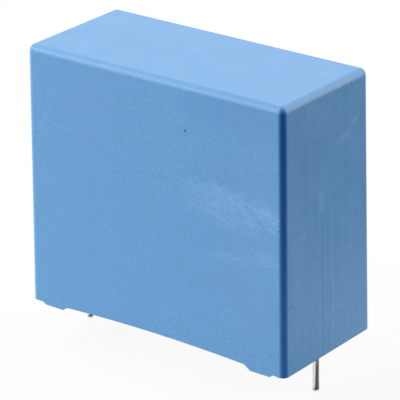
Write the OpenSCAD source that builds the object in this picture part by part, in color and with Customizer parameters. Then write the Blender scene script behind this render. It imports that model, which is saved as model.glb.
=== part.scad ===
// Box film capacitor with two radial wire leads.
// A film winding is potted in a moulded box that is open below.
// X runs along the box, Y across it and Z up. The origin is on the board's surface, midway between the leads.

/* [Leads] */
// Distance between the two wires
pitch = 37.5; // [27.5:0.5:52.5]
// Diameter of a wire's free end, with the solder it was dipped in
lead_d = 0.85; // [0.6:0.05:1]
// Thickness of that solder
dip_t = 0.025; // [0.01:0.005:0.04]
// Length of wire below the feet
lead_out = 5.5; // [3:0.1:25]
// How far a wire reaches above the middle of the roll
lead_rise = 1; // [-2:0.1:9]

/* [Case] */
// Width of the box at its open end
case_w = 18.9; // [15:0.1:30]
// Height of the box from the board to its top
case_h = 36; // [28:0.1:50]
// Thickness of the side walls
wall = 0.9; // [0.7:0.05:1.2]
// Thickness of the closed top
roof = 1.1; // [0.8:0.05:1.5]
// Resin between a wire and the end wall, at the open end
end_gap = 0.6; // [0.5:0.05:2]
// Draft that lets the box leave its mould, in degrees
draft = 0.68; // [0.3:0.01:1]
// Radius of the outer edges
edge_r = 0.95; // [0.5:0.05:1.2]
// Radius of the edges inside
inner_r = 0.4; // [0.2:0.05:0.6]

/* [Feet] */
// Height of the stand-off feet
foot_h = 0.3; // [0.2:0.05:0.8]
// Length of a foot where it stands on the board
foot_l = 3; // [2:0.1:5]
// Distance from the box's end to where a foot starts on the board
foot_end = 2.35; // [1.5:0.05:4]
// How far a foot's inner end slopes out over the foot's height
foot_slope_in = 0.45; // [0.2:0.05:1]
// How far a foot's outer end slopes out over the foot's height
foot_slope_out = 0.45; // [0.2:0.05:1]

/* [Rim] */
// How far a long wall's rim arches up between its ends
rim_rise = 0.65; // [0.2:0.05:1]
// Length of level rim beyond the arch, shared evenly by both ends
rim_level = 1.8; // [1.5:0.1:4]
// Place along the box where the rim is highest
rim_x = 1.3; // [-1.5:0.1:1.5]

/* [Winding] */
// Resin between the sleeve and a long wall, at the least
side_gap = 0.23; // [0.15:0.01:1]
// Resin between the sleeve and the closed top
top_gap = 0.85; // [0.3:0.05:3]
// Resin between the sleeve and the resin's lower face
under_gap = 1.9; // [1.5:0.05:5]
// Thickness of the plain film sleeve
wrap_t = 0.25; // [0.1:0.05:0.3]
// Thickness of the sprayed zinc
zinc_t = 0.6; // [0.4:0.05:0.8]
// Gap that the solder fills between zinc and wire
solder_gap = 0.17; // [0.1:0.01:0.3]
// Length of a solder joint
solder_l = 9; // [4:0.5:12]
// Width of a solder joint on the zinc
solder_w = 2.2; // [1.6:0.1:3]
// Length of bare wire above a solder joint
solder_stub = 1; // [0.5:0.1:3]

/* [Resin] */
// Depth of the resin inside the rim's highest point, beside the long walls
resin_recess = 0.3; // [0.2:0.05:1]
// How much deeper the resin lies along its middle
resin_dish = 0.4; // [0.1:0.05:0.8]
// Height of the resin that has crept down each wire
climb = 0.5; // [0.3:0.05:0.6]

/* [Hidden] */
// Sideways step of a drafted wall for each millimetre of height
lean = tan(draft);
// Distance of a rounding's middle from a drafted wall, for a radius of one
set_in = sqrt(1 + lean * lean);
// A rounding runs this much past its flats, so that it meets them on a line
reach = 1.004;
ball_reach = 1.01;
// Overlap that makes cuts run clean through
past = 2;
round_fn = 64;
wide_fn = 360;
lead_r = lead_d / 2;
bare_r = lead_r - dip_t;
lead_x = pitch / 2;
// Length of the box at its open end
case_l = pitch + lead_d + 2 * (end_gap + wall);
foot_outer = case_l / 2 - foot_end;
foot_inner = foot_outer - foot_l;
// The rim's arch is part of a wide circle
rim_half = case_l / 2 - rim_level;
rim_r = (rim_half * rim_half + rim_rise * rim_rise) / (2 * rim_rise);
rim_top = foot_h + rim_rise;
// The resin's lower face is hollow, and deepest along the box's middle
fill_z = rim_top + resin_recess;
fill_mid = fill_z + resin_dish;
fill_half = case_w / 2 - wall;
fill_r = (fill_half * fill_half + resin_dish * resin_dish) / (2 * resin_dish);
// The resin round a wire stays clear of the end wall, and its ring is rooted in the resin behind it
climb_clear = 0.05;
climb_r = min(climb, end_gap - climb_clear);
climb_seat = 0.1;
// The roll fills the box's inside, less the resin and its own sleeve
cavity_top = case_h - roof;
roll_t = case_w - 2 * (wall + lean * cavity_top + side_gap + wrap_t);
roll_low = fill_mid + under_gap + wrap_t;
roll_high = cavity_top - top_gap - wrap_t;
roll_mid = (roll_low + roll_high) / 2;
roll_h = roll_high - roll_low;
zinc_face = lead_x - bare_r - solder_gap;
film_half = zinc_face - zinc_t;
lead_top = roll_mid + lead_rise;
joint_z = lead_top - solder_stub - solder_l;
box_blue = [0.43, 0.64, 0.84];
resin_grey = [0.62, 0.60, 0.55];
film_silver = [0.78, 0.79, 0.80];
film_clear = [0.86, 0.85, 0.78];
zinc_grey = [0.55, 0.56, 0.57];
wire_tin = [0.72, 0.72, 0.70];
solder_tin = [0.64, 0.65, 0.66];

// What a rounding takes off a square corner whose middle of curve is at the origin
module corner_off(r) {
    difference() {
        square([2 * r, 2 * r]);
        circle(r = r * reach, $fn = round_fn);
    }
}

// Upright section of a drafted block that is 2 * half wide at the board's level
module drafted_profile(half, z0, z1, r) {
    low = half - lean * z0;
    high = half - lean * z1;
    mid = half - lean * (z1 - r) - r * set_in;
    difference() {
        polygon([[-low, z0], [low, z0], [high, z1], [-high, z1]]);
        for (side = [0, 1])
            mirror([side, 0])
                translate([mid, z1 - r])
                    corner_off(r);
    }
}

// What a rounding takes off one upright edge, which leans in with both of its walls
module upright_off(l, w, z0, z1, r) {
    translate([l / 2 - r * set_in, w / 2 - r * set_in, 0])
        rotate([0, 0, 45])
            rotate([0, -atan(lean * sqrt(2)), 0])
                rotate([0, 0, -45])
                    difference() {
                        translate([0, 0, z0 - past])
                            cube([2 * r, 2 * r, z1 - z0 + 2 * past]);
                        translate([0, 0, z0 - 2 * past])
                            cylinder(r = r * reach, h = z1 - z0 + 4 * past, $fn = round_fn);
                    }
}

// What a rounding takes off one top corner
module ball_off(l, w, z1, r) {
    inset = lean * (z1 - r) + r * set_in;
    translate([l / 2 - inset, w / 2 - inset, z1 - r])
        difference() {
            cube(2 * r);
            sphere(r = r * ball_reach, $fn = round_fn);
        }
}

// Drafted block with rounded upright edges and a rounded top; l and w are its sizes at the board's level
module drafted_block(l, w, z0, z1, r) {
    difference() {
        intersection() {
            rotate([90, 0, 0])
                linear_extrude(height = w + past, center = true)
                    drafted_profile(l / 2, z0, z1, r);
            rotate([90, 0, 90])
                linear_extrude(height = l + past, center = true)
                    drafted_profile(w / 2, z0, z1, r);
        }
        for (i = [0, 1], j = [0, 1])
            mirror([i, 0, 0])
                mirror([0, j, 0]) {
                    upright_off(l, w, z0, z1, r);
                    ball_off(l, w, z1, r);
                }
    }
}

// Space inside the box, from below the rim to the underside of the roof
module cavity() {
    drafted_block(case_l - 2 * wall, case_w - 2 * wall, -past, cavity_top, inner_r);
}

// What is taken off below the rim, between and beside the feet
module rim_relief() {
    // A foot's sloped ends carry on up to the arch's highest level
    slope_scale = rim_top / foot_h;
    rotate([90, 0, 0])
        linear_extrude(height = case_w + past, center = true)
            difference() {
                union() {
                    translate([-case_l, -past])
                        square([2 * case_l, past + foot_h]);
                    translate([rim_x, rim_top - rim_r])
                        circle(r = rim_r, $fn = wide_fn);
                }
                for (side = [0, 1])
                    mirror([side, 0])
                        polygon([
                            [foot_inner, 0], [foot_outer, 0],
                            [foot_outer + foot_slope_out * slope_scale, rim_top],
                            [foot_inner - foot_slope_in * slope_scale, rim_top]
                        ]);
            }
}

// The moulded box, open below, with its feet on the rims of the long walls
module case() {
    color(box_blue)
        difference() {
            drafted_block(case_l, case_w, 0, case_h, edge_r);
            cavity();
            rim_relief();
        }
}

// End-on section of the pressed roll, grown by a margin all round
module roll_section(margin) {
    r = roll_t / 2 + margin;
    translate([0, roll_mid]) {
        square([2 * r, roll_h - roll_t], center = true);
        for (end = [-1, 1])
            translate([0, end * (roll_h - roll_t) / 2])
                circle(r = r, $fn = round_fn);
    }
}

// Stretch of the roll, or of a layer on it, between two places along the box
module roll_bar(from, to, margin) {
    translate([from, 0, 0])
        rotate([90, 0, 90])
            linear_extrude(height = to - from)
                roll_section(margin);
}

module winding() {
    color(film_silver)
        roll_bar(-film_half, film_half, 0);
}

module wrap() {
    color(film_clear)
        difference() {
            roll_bar(-film_half, film_half, wrap_t);
            roll_bar(-film_half - past, film_half + past, 0);
        }
}

// Sprayed zinc on the right-hand end
module contact() {
    roll_bar(film_half, zinc_face, 0);
}

// The right-hand wire: dipped in solder up to the rim, and bare above it
module lead() {
    translate([lead_x, 0, -lead_out]) {
        cylinder(r = lead_r, h = lead_out + foot_h, $fn = round_fn);
        cylinder(r = bare_r, h = lead_out + lead_top, $fn = round_fn);
    }
}

// Solder that fills the angle between the right-hand wire and its zinc
module joint() {
    difference() {
        intersection() {
            translate([zinc_face, 0, joint_z])
                cylinder(r = solder_w / 2, h = solder_l, $fn = round_fn);
            translate([zinc_face, -solder_w, joint_z - past])
                cube([lead_x - zinc_face, 2 * solder_w, solder_l + 2 * past]);
        }
        lead();
    }
}

module contact_right() {
    color(zinc_grey)
        contact();
}

module contact_left() {
    color(zinc_grey)
        mirror([1, 0, 0])
            contact();
}

module lead_right() {
    color(wire_tin)
        lead();
}

module lead_left() {
    color(wire_tin)
        mirror([1, 0, 0])
            lead();
}

module joint_right() {
    color(solder_tin)
        joint();
}

module joint_left() {
    color(solder_tin)
        mirror([1, 0, 0])
            joint();
}

// Resin that has crept down the right-hand wire
module climb_ring() {
    translate([lead_x, 0, fill_mid])
        rotate_extrude($fn = round_fn)
            difference() {
                translate([0, -climb_r])
                    square([bare_r + climb_r, climb_r + climb_seat]);
                translate([bare_r + climb_r, -climb_r])
                    circle(r = climb_r * reach, $fn = round_fn);
            }
}

module resin() {
    color(resin_grey)
        difference() {
            union() {
                difference() {
                    cavity();
                    translate([-case_l, 0, fill_mid - fill_r])
                        rotate([0, 90, 0])
                            cylinder(r = fill_r, h = 2 * case_l, $fn = wide_fn);
                }
                for (side = [0, 1])
                    mirror([side, 0, 0])
                        climb_ring();
            }
            roll_bar(-film_half, film_half, wrap_t);
            roll_bar(-zinc_face, zinc_face, 0);
            for (side = [0, 1])
                mirror([side, 0, 0]) {
                    lead();
                    joint();
                }
        }
}

case();
resin();
winding();
wrap();
contact_left();
contact_right();
lead_left();
lead_right();
joint_left();
joint_right();
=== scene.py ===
import math

import bmesh
import bpy
from mathutils import Matrix, Vector


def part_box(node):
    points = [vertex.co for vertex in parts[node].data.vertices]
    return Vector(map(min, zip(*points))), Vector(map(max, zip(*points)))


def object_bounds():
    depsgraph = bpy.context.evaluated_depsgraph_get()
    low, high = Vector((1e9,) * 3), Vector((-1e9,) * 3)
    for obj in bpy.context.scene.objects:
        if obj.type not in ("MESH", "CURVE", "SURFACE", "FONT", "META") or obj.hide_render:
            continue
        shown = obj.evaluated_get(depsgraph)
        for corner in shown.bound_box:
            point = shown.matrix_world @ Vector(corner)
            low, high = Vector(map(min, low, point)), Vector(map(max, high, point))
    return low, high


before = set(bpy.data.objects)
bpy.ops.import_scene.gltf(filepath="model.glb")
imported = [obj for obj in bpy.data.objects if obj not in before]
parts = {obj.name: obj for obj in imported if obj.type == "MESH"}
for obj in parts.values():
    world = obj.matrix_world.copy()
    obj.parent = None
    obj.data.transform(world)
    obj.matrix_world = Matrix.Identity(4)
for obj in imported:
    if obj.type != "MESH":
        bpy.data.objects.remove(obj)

cad_low, cad_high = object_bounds()

# Winding
# Two metallised plastic films, wound together, taken off the mandrel and pressed flat.
# Seen from the end the turns are hair-thin layers. Its sleeve and the resin hide the whole roll.

film_pitch = 0.00012


def new_finish(name, roughness, metallic=0.0):
    """A material whose plain values sit on its shader's own sockets."""
    finish = bpy.data.materials.new(name)
    finish.use_nodes = True
    shader = finish.node_tree.nodes["Principled BSDF"]
    shader.inputs["Roughness"].default_value = roughness
    shader.inputs["Metallic"].default_value = metallic
    return finish, shader


def add(finish, kind, *values, **settings):
    """Adds a node. Each value is a plain value or another node's output, for its inputs in turn."""
    node = finish.node_tree.nodes.new("ShaderNode" + kind)
    for name, setting in settings.items():
        setattr(node, name, setting)
    for socket, value in zip(node.inputs, values):
        if isinstance(value, bpy.types.NodeSocket):
            finish.node_tree.links.new(value, socket)
        elif value is not None:
            socket.default_value = value
    return node.outputs[0]


def place(finish, centre=(0, 0, 0), turn=(0, 0, 0), size=(1, 1, 1)):
    """Object coordinates measured from a centre, turned, in units of the sizes given."""
    seen = finish.node_tree.nodes.new("ShaderNodeTexCoord").outputs["Object"]
    return add(finish, "Mapping", seen, centre, turn, size, vector_type="TEXTURE")


def speckle(finish, at, size, detail=2.0):
    """Cloudy noise between about 0.3 and 0.7, with blotches of the size given."""
    node = finish.node_tree.nodes.new("ShaderNodeTexNoise")
    node.inputs["Scale"].default_value = 1 / size
    node.inputs["Detail"].default_value = detail
    finish.node_tree.links.new(at, node.inputs["Vector"])
    return node.outputs["Fac"]


def stretch(finish, value, low, high, to_low=0.0, to_high=1.0):
    """Turns the stretch from low to high into the stretch from to_low to to_high, with soft ends."""
    soft = "SMOOTHSTEP"
    return add(finish, "MapRange", value, low, high, to_low, to_high, interpolation_type=soft)


def mix(finish, share, first, second):
    """Colour between two colours."""
    node = finish.node_tree.nodes.new("ShaderNodeMix")
    node.data_type = "RGBA"
    # With colours, a Mix node takes its share, first and second colour on these inputs.
    sockets = node.inputs[0], node.inputs[6], node.inputs[7]
    for socket, value in zip(sockets, (share, first, second)):
        if isinstance(value, bpy.types.NodeSocket):
            finish.node_tree.links.new(value, socket)
        elif isinstance(value, (int, float)):
            socket.default_value = value
        else:
            socket.default_value = (*value, 1)
    return node.outputs[2]


def times(finish, first, second):
    """Product of two values."""
    return add(finish, "Math", first, second, operation="MULTIPLY")


def plus(finish, first, second):
    """Sum of two values."""
    return add(finish, "Math", first, second, operation="ADD")


def larger(finish, first, second):
    """The larger of two values."""
    return add(finish, "Math", first, second, operation="MAXIMUM")


def size_of(finish, value):
    """A value without its sign."""
    return add(finish, "Math", value, None, operation="ABSOLUTE")


def feed(finish, shader, socket, value):
    """Links a value to one of the shader's sockets."""
    finish.node_tree.links.new(value, shader.inputs[socket])


def dent(finish, shader, height, depth, under=None):
    """Lets a height between 0 and 1 shade the surface as relief of that depth."""
    node = finish.node_tree.nodes.new("ShaderNodeBump")
    node.inputs["Distance"].default_value = depth
    finish.node_tree.links.new(height, node.inputs["Height"])
    if under:
        finish.node_tree.links.new(under, node.inputs["Normal"])
    feed(finish, shader, "Normal", node.outputs["Normal"])
    return node.outputs["Normal"]


def dress(finish, *names):
    """Puts a finish on CAD parts that are shown as they are."""
    for name in names:
        parts[name].data.materials.clear()
        parts[name].data.materials.append(finish)


film, film_shader = new_finish("pressed_film", 0.32, metallic=0.85)
layers = add(film, "TexWave", place(film), 1 / film_pitch, 0.6, 2.0, bands_direction="Y")
film_cloud = speckle(film, place(film), 0.004)
film_colour = mix(film, film_cloud, (0.58, 0.59, 0.61), (0.74, 0.75, 0.77))
feed(film, film_shader, "Base Color", film_colour)
feed(film, film_shader, "Roughness", stretch(film, film_cloud, 0.3, 0.7, 0.25, 0.42))
dent(film, film_shader, layers, 0.00002)
dress(film, "winding")

# Sleeve
# A few turns of plain clear film that hold the pressed roll together and keep it off the box.

sleeve, sleeve_shader = new_finish("plain_film", 0.28)
sleeve_cloud = speckle(sleeve, place(sleeve, size=(3, 1, 1)), 0.002)
sleeve_colour = mix(sleeve, sleeve_cloud, (0.66, 0.63, 0.52), (0.78, 0.76, 0.66))
feed(sleeve, sleeve_shader, "Base Color", sleeve_colour)
feed(sleeve, sleeve_shader, "Roughness", stretch(sleeve, sleeve_cloud, 0.3, 0.7, 0.2, 0.36))
dent(sleeve, sleeve_shader, sleeve_cloud, 0.00004)
dress(sleeve, "wrap")

# Contacts
# Zinc sprayed on both ends of the roll, which joins every turn of a film to one wire.
# It comes out grey, matt and grainy.

zinc, zinc_shader = new_finish("sprayed_zinc", 0.72, metallic=0.7)
zinc_grain = speckle(zinc, place(zinc), 0.00025, 4)
zinc_colour = mix(zinc, zinc_grain, (0.26, 0.27, 0.28), (0.46, 0.47, 0.48))
feed(zinc, zinc_shader, "Base Color", zinc_colour)
feed(zinc, zinc_shader, "Roughness", stretch(zinc, zinc_grain, 0.3, 0.7, 0.6, 0.85))
dent(zinc, zinc_shader, zinc_grain, 0.00006)
dress(zinc, "contact_left", "contact_right")

# Leads
# Tinned copper wire, cut from a reel, soldered to the zinc and dipped in solder up to the rim.
# The tin is bright and slightly wavy along the wire.

wire, wire_shader = new_finish("tinned_wire", 0.25, metallic=1.0)
wire_streak = speckle(wire, place(wire, size=(1, 1, 8)), 0.00025)
wire_cloud = speckle(wire, place(wire), 0.0012)
wire_colour = mix(wire, wire_cloud, (0.74, 0.735, 0.70), (0.88, 0.875, 0.85))
feed(wire, wire_shader, "Base Color", wire_colour)
feed(wire, wire_shader, "Roughness", stretch(wire, wire_streak, 0.3, 0.7, 0.2, 0.36))
dent(wire, wire_shader, plus(wire, wire_streak, wire_cloud), 0.00001)
dress(wire, "lead_left", "lead_right")

# Solder joints
# A run of solder that fills the angle between each wire and its zinc.

solder, solder_shader = new_finish("set_solder", 0.3, metallic=1.0)
solder_cloud = speckle(solder, place(solder), 0.0008)
solder_colour = mix(solder, solder_cloud, (0.46, 0.47, 0.48), (0.64, 0.65, 0.66))
feed(solder, solder_shader, "Base Color", solder_colour)
feed(solder, solder_shader, "Roughness", stretch(solder, solder_cloud, 0.3, 0.7, 0.22, 0.45))
dent(solder, solder_shader, solder_cloud, 0.00003)
dress(solder, "joint_left", "joint_right")

# Case
# A box moulded in one shot of filled polyester, blue all through, with a fine matt face from its mould.
# It is pushed down over the roll and filled with resin from its open side. Handling has left pale
# scuffs, and the shrinking resin lets the wire show through each end wall as a faint raised strip.

case_low, case_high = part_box("case")
front, end, top = case_low.y, case_high.x, case_high.z
edge_radius = 0.00095
draft = math.radians(0.68)
# A mark is painted this far into the plastic, so that it reaches the drafted wall at every height.
mark_depth = 0.003

plastic, plastic_shader = new_finish("blue_moulding", 0.45)
plastic_shader.inputs["IOR"].default_value = 1.53
along, across, height = add(plastic, "SeparateXYZ", place(plastic)).node.outputs


def blot(centre, size, turn=(0, 0, 0)):
    """A soft spot on the plastic, 1 in its middle and 0 beyond the size given."""
    at = place(plastic, centre, turn, size)
    return add(plastic, "TexGradient", at, gradient_type="SPHERICAL")


def brush(tilt, length, width):
    """Streaks that run along the box and rise towards its right end by a tilt in degrees."""
    turned = place(plastic, turn=(0, math.radians(-tilt), 0), size=(length, width, width))
    return stretch(plastic, speckle(plastic, turned, 1.0, 4), 0.42, 0.66)


def tint(under, where, amount, over):
    """The colour so far, with a share of another laid over it in some places."""
    return mix(plastic, times(plastic, where, amount), under, over)


# The plastic's own blue: a fine grain, soft clouds, and flow lines up the end walls.
fine = speckle(plastic, place(plastic), 0.00013, 2)
case_grain = speckle(plastic, place(plastic), 0.0003, 3)
case_cloud = speckle(plastic, place(plastic), 0.003, 3)
wide_cloud = speckle(plastic, place(plastic, centre=(0.03, 0, 0)), 0.009, 2)
on_end = stretch(plastic, size_of(plastic, along), end - 0.0012, end - 0.0008)
on_top = stretch(plastic, height, top - 0.0005, top - 0.0002)
flow = times(plastic, speckle(plastic, place(plastic, size=(1, 1, 30)), 0.0009, 3), on_end)
mottle = times(plastic, speckle(plastic, place(plastic, size=(1, 1.6, 1)), 0.0007, 2), on_end)

tone = plus(plastic, times(plastic, fine, 0.50), times(plastic, case_grain, 0.38))
tone = plus(plastic, tone, times(plastic, case_cloud, 0.12))
tone = stretch(plastic, tone, 0.25, 0.75)
colour = mix(plastic, tone, (0.094, 0.273, 0.530), (0.157, 0.395, 0.726))
colour = tint(colour, stretch(plastic, wide_cloud, 0.35, 0.65), 0.35, (0.130, 0.320, 0.62))
colour = tint(colour, stretch(plastic, flow, 0.35, 0.7), 0.35, (0.095, 0.285, 0.57))
colour = tint(colour, stretch(plastic, mottle, 0.42, 0.6), 0.16, (0.190, 0.400, 0.70))
colour = tint(colour, on_top, 0.55, (0.121, 0.333, 0.635))

# Pale scuffs on the front, where the box was handled, and a darker patch at its upper right.
scuffs = None
for x, z, length, width, tilt, strength in (
    (0.0072, 0.0222, 0.0032, 0.0014, 2, 0.4),
    (0.0108, 0.0229, 0.0042, 0.0016, -6, 0.7),
    (0.0134, 0.0223, 0.0028, 0.0020, -10, 1.0),
    (0.0163, 0.0219, 0.0040, 0.0018, -3, 1.0),
    (0.0188, 0.0208, 0.0030, 0.0024, -10, 1.0),
    (0.0130, 0.0210, 0.0110, 0.0038, -6, 0.7),
    (0.0180, 0.0157, 0.0032, 0.0019, 3, 0.6),
    (0.0140, 0.0148, 0.0070, 0.0012, 3, 0.45),
    (0.0178, 0.0200, 0.0070, 0.0140, -3, 0.22),
):
    spot = blot((x, front, z), (length, mark_depth, width), (0, math.radians(-tilt), 0))
    streaks = times(plastic, brush(tilt, 0.0010, 0.00045), 0.5)
    streaks = plus(plastic, streaks, times(plastic, case_cloud, 0.35))
    speckles = times(plastic, stretch(plastic, case_grain, 0.3, 0.7), 0.3)
    streaks = plus(plastic, streaks, speckles)
    mark = times(plastic, times(plastic, stretch(plastic, spot, 0.0, 0.7), streaks), strength)
    scuffs = mark if scuffs is None else larger(plastic, scuffs, mark)
colour = tint(colour, scuffs, 0.75, (0.255, 0.490, 0.795))
patch = blot((0.0120, front, 0.0337), (0.0110, mark_depth, 0.0034))
colour = tint(colour, stretch(plastic, patch, 0.0, 0.7), 0.6, (0.108, 0.305, 0.60))

# Small scuffs on the right end wall.
for y, z, length, width, tilt, strength in (
    (0.0036, 0.0285, 0.0022, 0.0009, 15, 0.6),
    (0.0057, 0.0299, 0.0016, 0.0003, 20, 0.9),
    (-0.0013, 0.0213, 0.0010, 0.0022, 0, 0.45),
    (-0.0050, 0.0180, 0.0009, 0.0006, 0, 0.45),
    (-0.0054, 0.0165, 0.0006, 0.0010, 20, 0.3),
    (0.0046, 0.0132, 0.0010, 0.0003, -10, 0.55),
    (-0.0028, 0.0008, 0.0005, 0.0004, 0, 0.5),
):
    spot = blot((end, y, z), (mark_depth, length, width), (math.radians(tilt), 0, 0))
    speckles = times(plastic, stretch(plastic, case_grain, 0.3, 0.6), strength)
    mark = times(plastic, stretch(plastic, spot, 0.0, 0.8), speckles)
    colour = mix(plastic, mark, colour, (0.225, 0.450, 0.78))

# Handling has left a faint ring and two dull spots on the roof.
ring = blot((-0.0095, -0.0016, top), (0.0040, 0.0040, mark_depth))
ring = times(plastic, stretch(plastic, ring, 0.25, 0.50), stretch(plastic, ring, 0.80, 0.50))
small_spot = blot((0.0088, 0.0002, top), (0.0014, 0.0014, mark_depth))
large_spot = blot((-0.0015, 0.0003, top), (0.0050, 0.0030, mark_depth))
dull = plus(plastic, times(plastic, ring, 0.8), plus(plastic, small_spot, large_spot))
dull = times(plastic, dull, stretch(plastic, case_cloud, 0.3, 0.6))
colour = tint(colour, dull, 0.45, (0.105, 0.300, 0.585))

# Tiny dark pits, three on the front and two on the right end wall.
for x, y, z, size in (
    (0.00534, front, 0.0299, 0.00021),
    (0.0196, front, 0.0200, 0.00014),
    (0.0194, front, 0.0196, 0.00010),
    (end, -0.0076, 0.0096, 0.00015),
    (end, -0.0069, 0.0089, 0.00013),
):
    spot = blot((x, y, z), (mark_depth, size, size) if x == end else (size, mark_depth, size))
    colour = mix(plastic, stretch(plastic, spot, 0.0, 0.5), colour, (0.02, 0.06, 0.13))

# The upright edge at the front right is painted darker and deeper in colour: painted shade and a
# painted dark reflection for the one edge that faces away from the lamps and towards the dark screen.
# Its rounding is found from the two wall positions, which lean in with the draft. Each distance past
# the start of the rounding is 0.7 of the radius in the middle of the edge.
drawn_in = times(plastic, height, math.tan(draft))
out_x = plus(plastic, plus(plastic, along, drawn_in), edge_radius - end)
out_y = plus(plastic, plus(plastic, times(plastic, across, -1.0), drawn_in), edge_radius + front)
per_middle = 1.414 / edge_radius
painted_edge_shade = times(plastic, times(plastic, out_x, per_middle), times(plastic, out_y, per_middle))
painted_edge_shade = stretch(plastic, painted_edge_shade, 0.2, 1.0)
for out in (out_x, out_y):
    painted_edge_shade = times(plastic, painted_edge_shade, stretch(plastic, out, 0.0, edge_radius / 4))
# The painted shade along that edge, a deep dark blue.
colour = tint(colour, painted_edge_shade, 0.97, (0.003, 0.145, 0.52))
feed(plastic, plastic_shader, "Base Color", colour)

# The scuffs are a little rougher than the moulded face.
rough = stretch(plastic, case_cloud, 0.3, 0.7, 0.42, 0.50)
rough = plus(plastic, rough, times(plastic, scuffs, 0.08))
feed(plastic, plastic_shader, "Roughness", rough)

# The raised strip over the wire ends in a half round. Flow lines, clouds and grain lie over it.
strip_half, strip_top, strip_rise = 0.00115, 0.0187, 0.000028
sideways = times(plastic, size_of(plastic, across), 1 / strip_half)
upwards = times(plastic, plus(plastic, height, -strip_top), 1 / strip_half)
upwards = larger(plastic, upwards, 0.0)
outline = plus(plastic, times(plastic, sideways, sideways), times(plastic, upwards, upwards))
strip = times(plastic, stretch(plastic, outline, 1.5, 0.5), on_end)
relief = dent(plastic, plastic_shader, strip, strip_rise)
relief = dent(plastic, plastic_shader, flow, 0.00002, relief)
relief = dent(plastic, plastic_shader, case_cloud, 0.00001, relief)
grain = plus(plastic, times(plastic, fine, 0.5), times(plastic, case_grain, 0.6))
grain = times(plastic, grain, stretch(plastic, on_top, 0, 1, 1.0, 0.6))
dent(plastic, plastic_shader, grain, 0.000028, relief)
dress(plastic, "case")

# Resin
# Grey epoxy, poured in from below and cured. It has sunk along the middle and crept along both wires.

epoxy, epoxy_shader = new_finish("grey_epoxy", 0.35)
epoxy_cloud = speckle(epoxy, place(epoxy), 0.003, 3)
epoxy_colour = mix(epoxy, epoxy_cloud, (0.30, 0.30, 0.27), (0.38, 0.37, 0.34))
feed(epoxy, epoxy_shader, "Base Color", epoxy_colour)
feed(epoxy, epoxy_shader, "Roughness", stretch(epoxy, epoxy_cloud, 0.3, 0.7, 0.28, 0.42))
dent(epoxy, epoxy_shader, epoxy_cloud, 0.00005)
dress(epoxy, "resin")

# Studio
# A pale table top under the wires, five soft lamps, a dark screen behind the camera and small dark mats
# on the table, hidden from the camera, that put painted shade into the wires' reflections. The case's
# end wall faces the weaker light.

middle = (cad_low + cad_high) / 2
camera_azimuth, camera_elevation, camera_roll = 37.91, 22.73, -0.86
camera_distance = 0.3479
camera_aim = Vector((0.00043, 0, 0.01636))


def towards(azimuth, elevation):
    """Direction from the part. Azimuth 0 is in front of it and 90 on its right, as for the camera."""
    a, e = math.radians(azimuth), math.radians(elevation)
    return Vector((math.sin(a) * math.cos(e), -math.cos(a) * math.cos(e), math.sin(e)))


def set_up(name, data):
    """A new object in the scene, made of a mesh, a lamp or a camera."""
    thing = bpy.data.objects.new(name, data)
    bpy.context.scene.collection.objects.link(thing)
    return thing


def shown(finish, rays):
    """1 for rays from the camera and for mirrored and transmitted ones, 0 for all other light."""
    direct = larger(finish, rays["Is Camera Ray"], rays["Is Glossy Ray"])
    return larger(finish, direct, rays["Is Transmission Ray"])


# The table glows almost white and still takes the part's shadow. For light that bounces it is grey,
# wires mirror it a little darker, and from below it is clear.
floor_radius = 0.06
bpy.ops.mesh.primitive_circle_add(
    vertices=96, radius=floor_radius, fill_type="TRIFAN", location=(0, 0, cad_low.z)
)
floor = bpy.context.object
floor.name = "floor"
paper = bpy.data.materials.new("pale_table")
paper.use_nodes = True
floor.data.materials.append(paper)
paper_nodes = paper.node_tree.nodes
paper_nodes.remove(paper_nodes["Principled BSDF"])
rays = add(paper, "LightPath").node.outputs
matt = add(paper, "BsdfDiffuse", (0.9, 0.9, 0.9, 1))
glow = add(paper, "Emission", None, 1.0)
glow_share = add(paper, "Math", rays["Is Glossy Ray"], -0.26, 0.92, operation="MULTIPLY_ADD")
bright = add(paper, "MixShader", glow_share, matt, glow)
bounce = add(paper, "BsdfDiffuse", (0.4, 0.4, 0.4, 1))
table_top = add(paper, "MixShader", shown(paper, rays), bounce, bright)
from_below = add(paper, "NewGeometry").node.outputs["Backfacing"]
table = add(paper, "MixShader", from_below, table_top, add(paper, "BsdfTransparent"))
paper.node_tree.links.new(table, paper_nodes["Material Output"].inputs["Surface"])

# Lamps: azimuth from the camera's, elevation, width, height, power, and whether they are mirrored.
lamp_distance = 0.6
for name, azimuth, elevation, width, tall, power, mirrored in (
    ("left_soft_box", -84, 12, 0.55, 0.52, 2.7, False),
    ("left_strip_box", -84, 31, 0.5, 0.2, 2.1, True),
    ("right_soft_box", 98, 26, 0.64, 0.67, 4.1, True),
    ("back_soft_box", 173, 36, 0.57, 0.3, 0.75, True),
    ("over_soft_box", -112, 54, 0.41, 0.3, 0.75, True),
):
    light = bpy.data.lights.new(name, "AREA")
    light.shape = "RECTANGLE"
    light.size = width
    light.size_y = tall
    light.energy = power
    lamp = set_up(name, light)
    outwards = towards(camera_azimuth + azimuth, elevation)
    lamp.location = middle + lamp_distance * outwards
    lamp.rotation_euler = outwards.to_track_quat("Z", "Y").to_euler()
    lamp.visible_camera = False
    lamp.visible_glossy = mirrored

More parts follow.
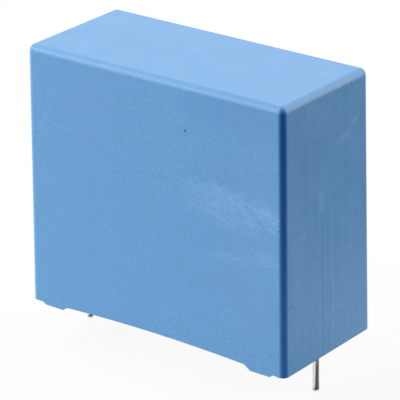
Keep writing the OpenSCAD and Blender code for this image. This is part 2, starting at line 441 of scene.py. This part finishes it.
# The dark screen stands in an arc behind the camera, which doesn't see it.
screen_reach, screen_low, screen_high = 0.9, -1.2, 0.35
screen_start, screen_turn, screen_steps = camera_azimuth - 38, 188, 38
screen = bmesh.new()
foot = towards(screen_start, 0) * screen_reach
low = screen.verts.new(foot + Vector((0, 0, screen_low)))
high = screen.verts.new(foot + Vector((0, 0, screen_high)))
screen.edges.new((low, high))
bmesh.ops.spin(
    screen, geom=screen.verts[:] + screen.edges[:], cent=(0, 0, 0), axis=(0, 0, 1),
    angle=math.radians(screen_turn), steps=screen_steps,
)
screen_mesh = bpy.data.meshes.new("dark_card")
screen.to_mesh(screen_mesh)
screen.free()
dark_card = set_up("dark_card", screen_mesh)
dark_card.visible_camera = False
black, black_shader = new_finish("black_card", 1.0)
black_shader.inputs["Base Color"].default_value = (0.05, 0.05, 0.05, 1)
screen_mesh.materials.append(black)

# Mats: slices of a circle round a wire's tip, from one azimuth to another, just above the table. They
# are
# painted reflections: the camera doesn't see them and they cast no shadow, and the wires mirror them as
# painted shade of the table round each wire.
mat_lift, mat_step = 0.0002, 4
for name, lead, first_azimuth, last_azimuth, reach, shade in (
    ("dark_shade_mirror", "lead_right", 24, 112, 0.016, 0.10),
    ("grey_shade_mirror", "lead_right", 112, 160, 0.016, 0.35),
    ("small_shade_mirror", "lead_left", 28, 104, 0.008, 0.10),
):
    mat = bmesh.new()
    tip = Vector((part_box(lead)[0].x, 0, cad_low.z + mat_lift))
    corners = [mat.verts.new(tip)]
    for azimuth in range(first_azimuth, last_azimuth + 1, mat_step):
        corners.append(mat.verts.new(tip + reach * towards(azimuth, 0)))
    mat.faces.new(corners)
    mat_mesh = bpy.data.meshes.new(name)
    mat.to_mesh(mat_mesh)
    mat.free()
    shade_mirror = set_up(name, mat_mesh)
    # Hidden from the camera and casting no shadow, the mat only paints shade into reflections.
    shade_mirror.visible_camera = False
    shade_mirror.visible_shadow = False
    shade_mirror_finish, shade_mirror_shader = new_finish(name, 1.0)
    shade_mirror_shader.inputs["Base Color"].default_value = (shade, shade, shade, 1)
    mat_mesh.materials.append(shade_mirror_finish)

# The room is white where it is seen or mirrored, and gives only a little light of its own.
room_light = 0.12
world = bpy.data.worlds.new("studio")
bpy.context.scene.world = world
world.use_nodes = True
room = world.node_tree.nodes["Background"]
room.inputs["Color"].default_value = (1, 1, 1, 1)
white_where = shown(world, add(world, "LightPath").node.outputs)
strength = add(world, "Mix", white_where, None, room_light, 1.0)
world.node_tree.links.new(strength, room.inputs["Strength"])

lens = bpy.data.cameras.new("camera")
lens.lens = 243.4
lens.sensor_width = 36
lens.clip_start = 0.01
lens.clip_end = 10
camera = set_up("camera", lens)
back = towards(camera_azimuth, camera_elevation)
level = towards(camera_azimuth + 90, 0)
roll = Matrix.Rotation(math.radians(camera_roll), 3, back)
axes = Matrix((roll @ level, roll @ back.cross(level), back)).transposed().to_4x4()
camera.matrix_world = Matrix.Translation(camera_aim + camera_distance * back) @ axes
bpy.context.scene.camera = camera
bpy.context.scene.view_settings.view_transform = "Standard"
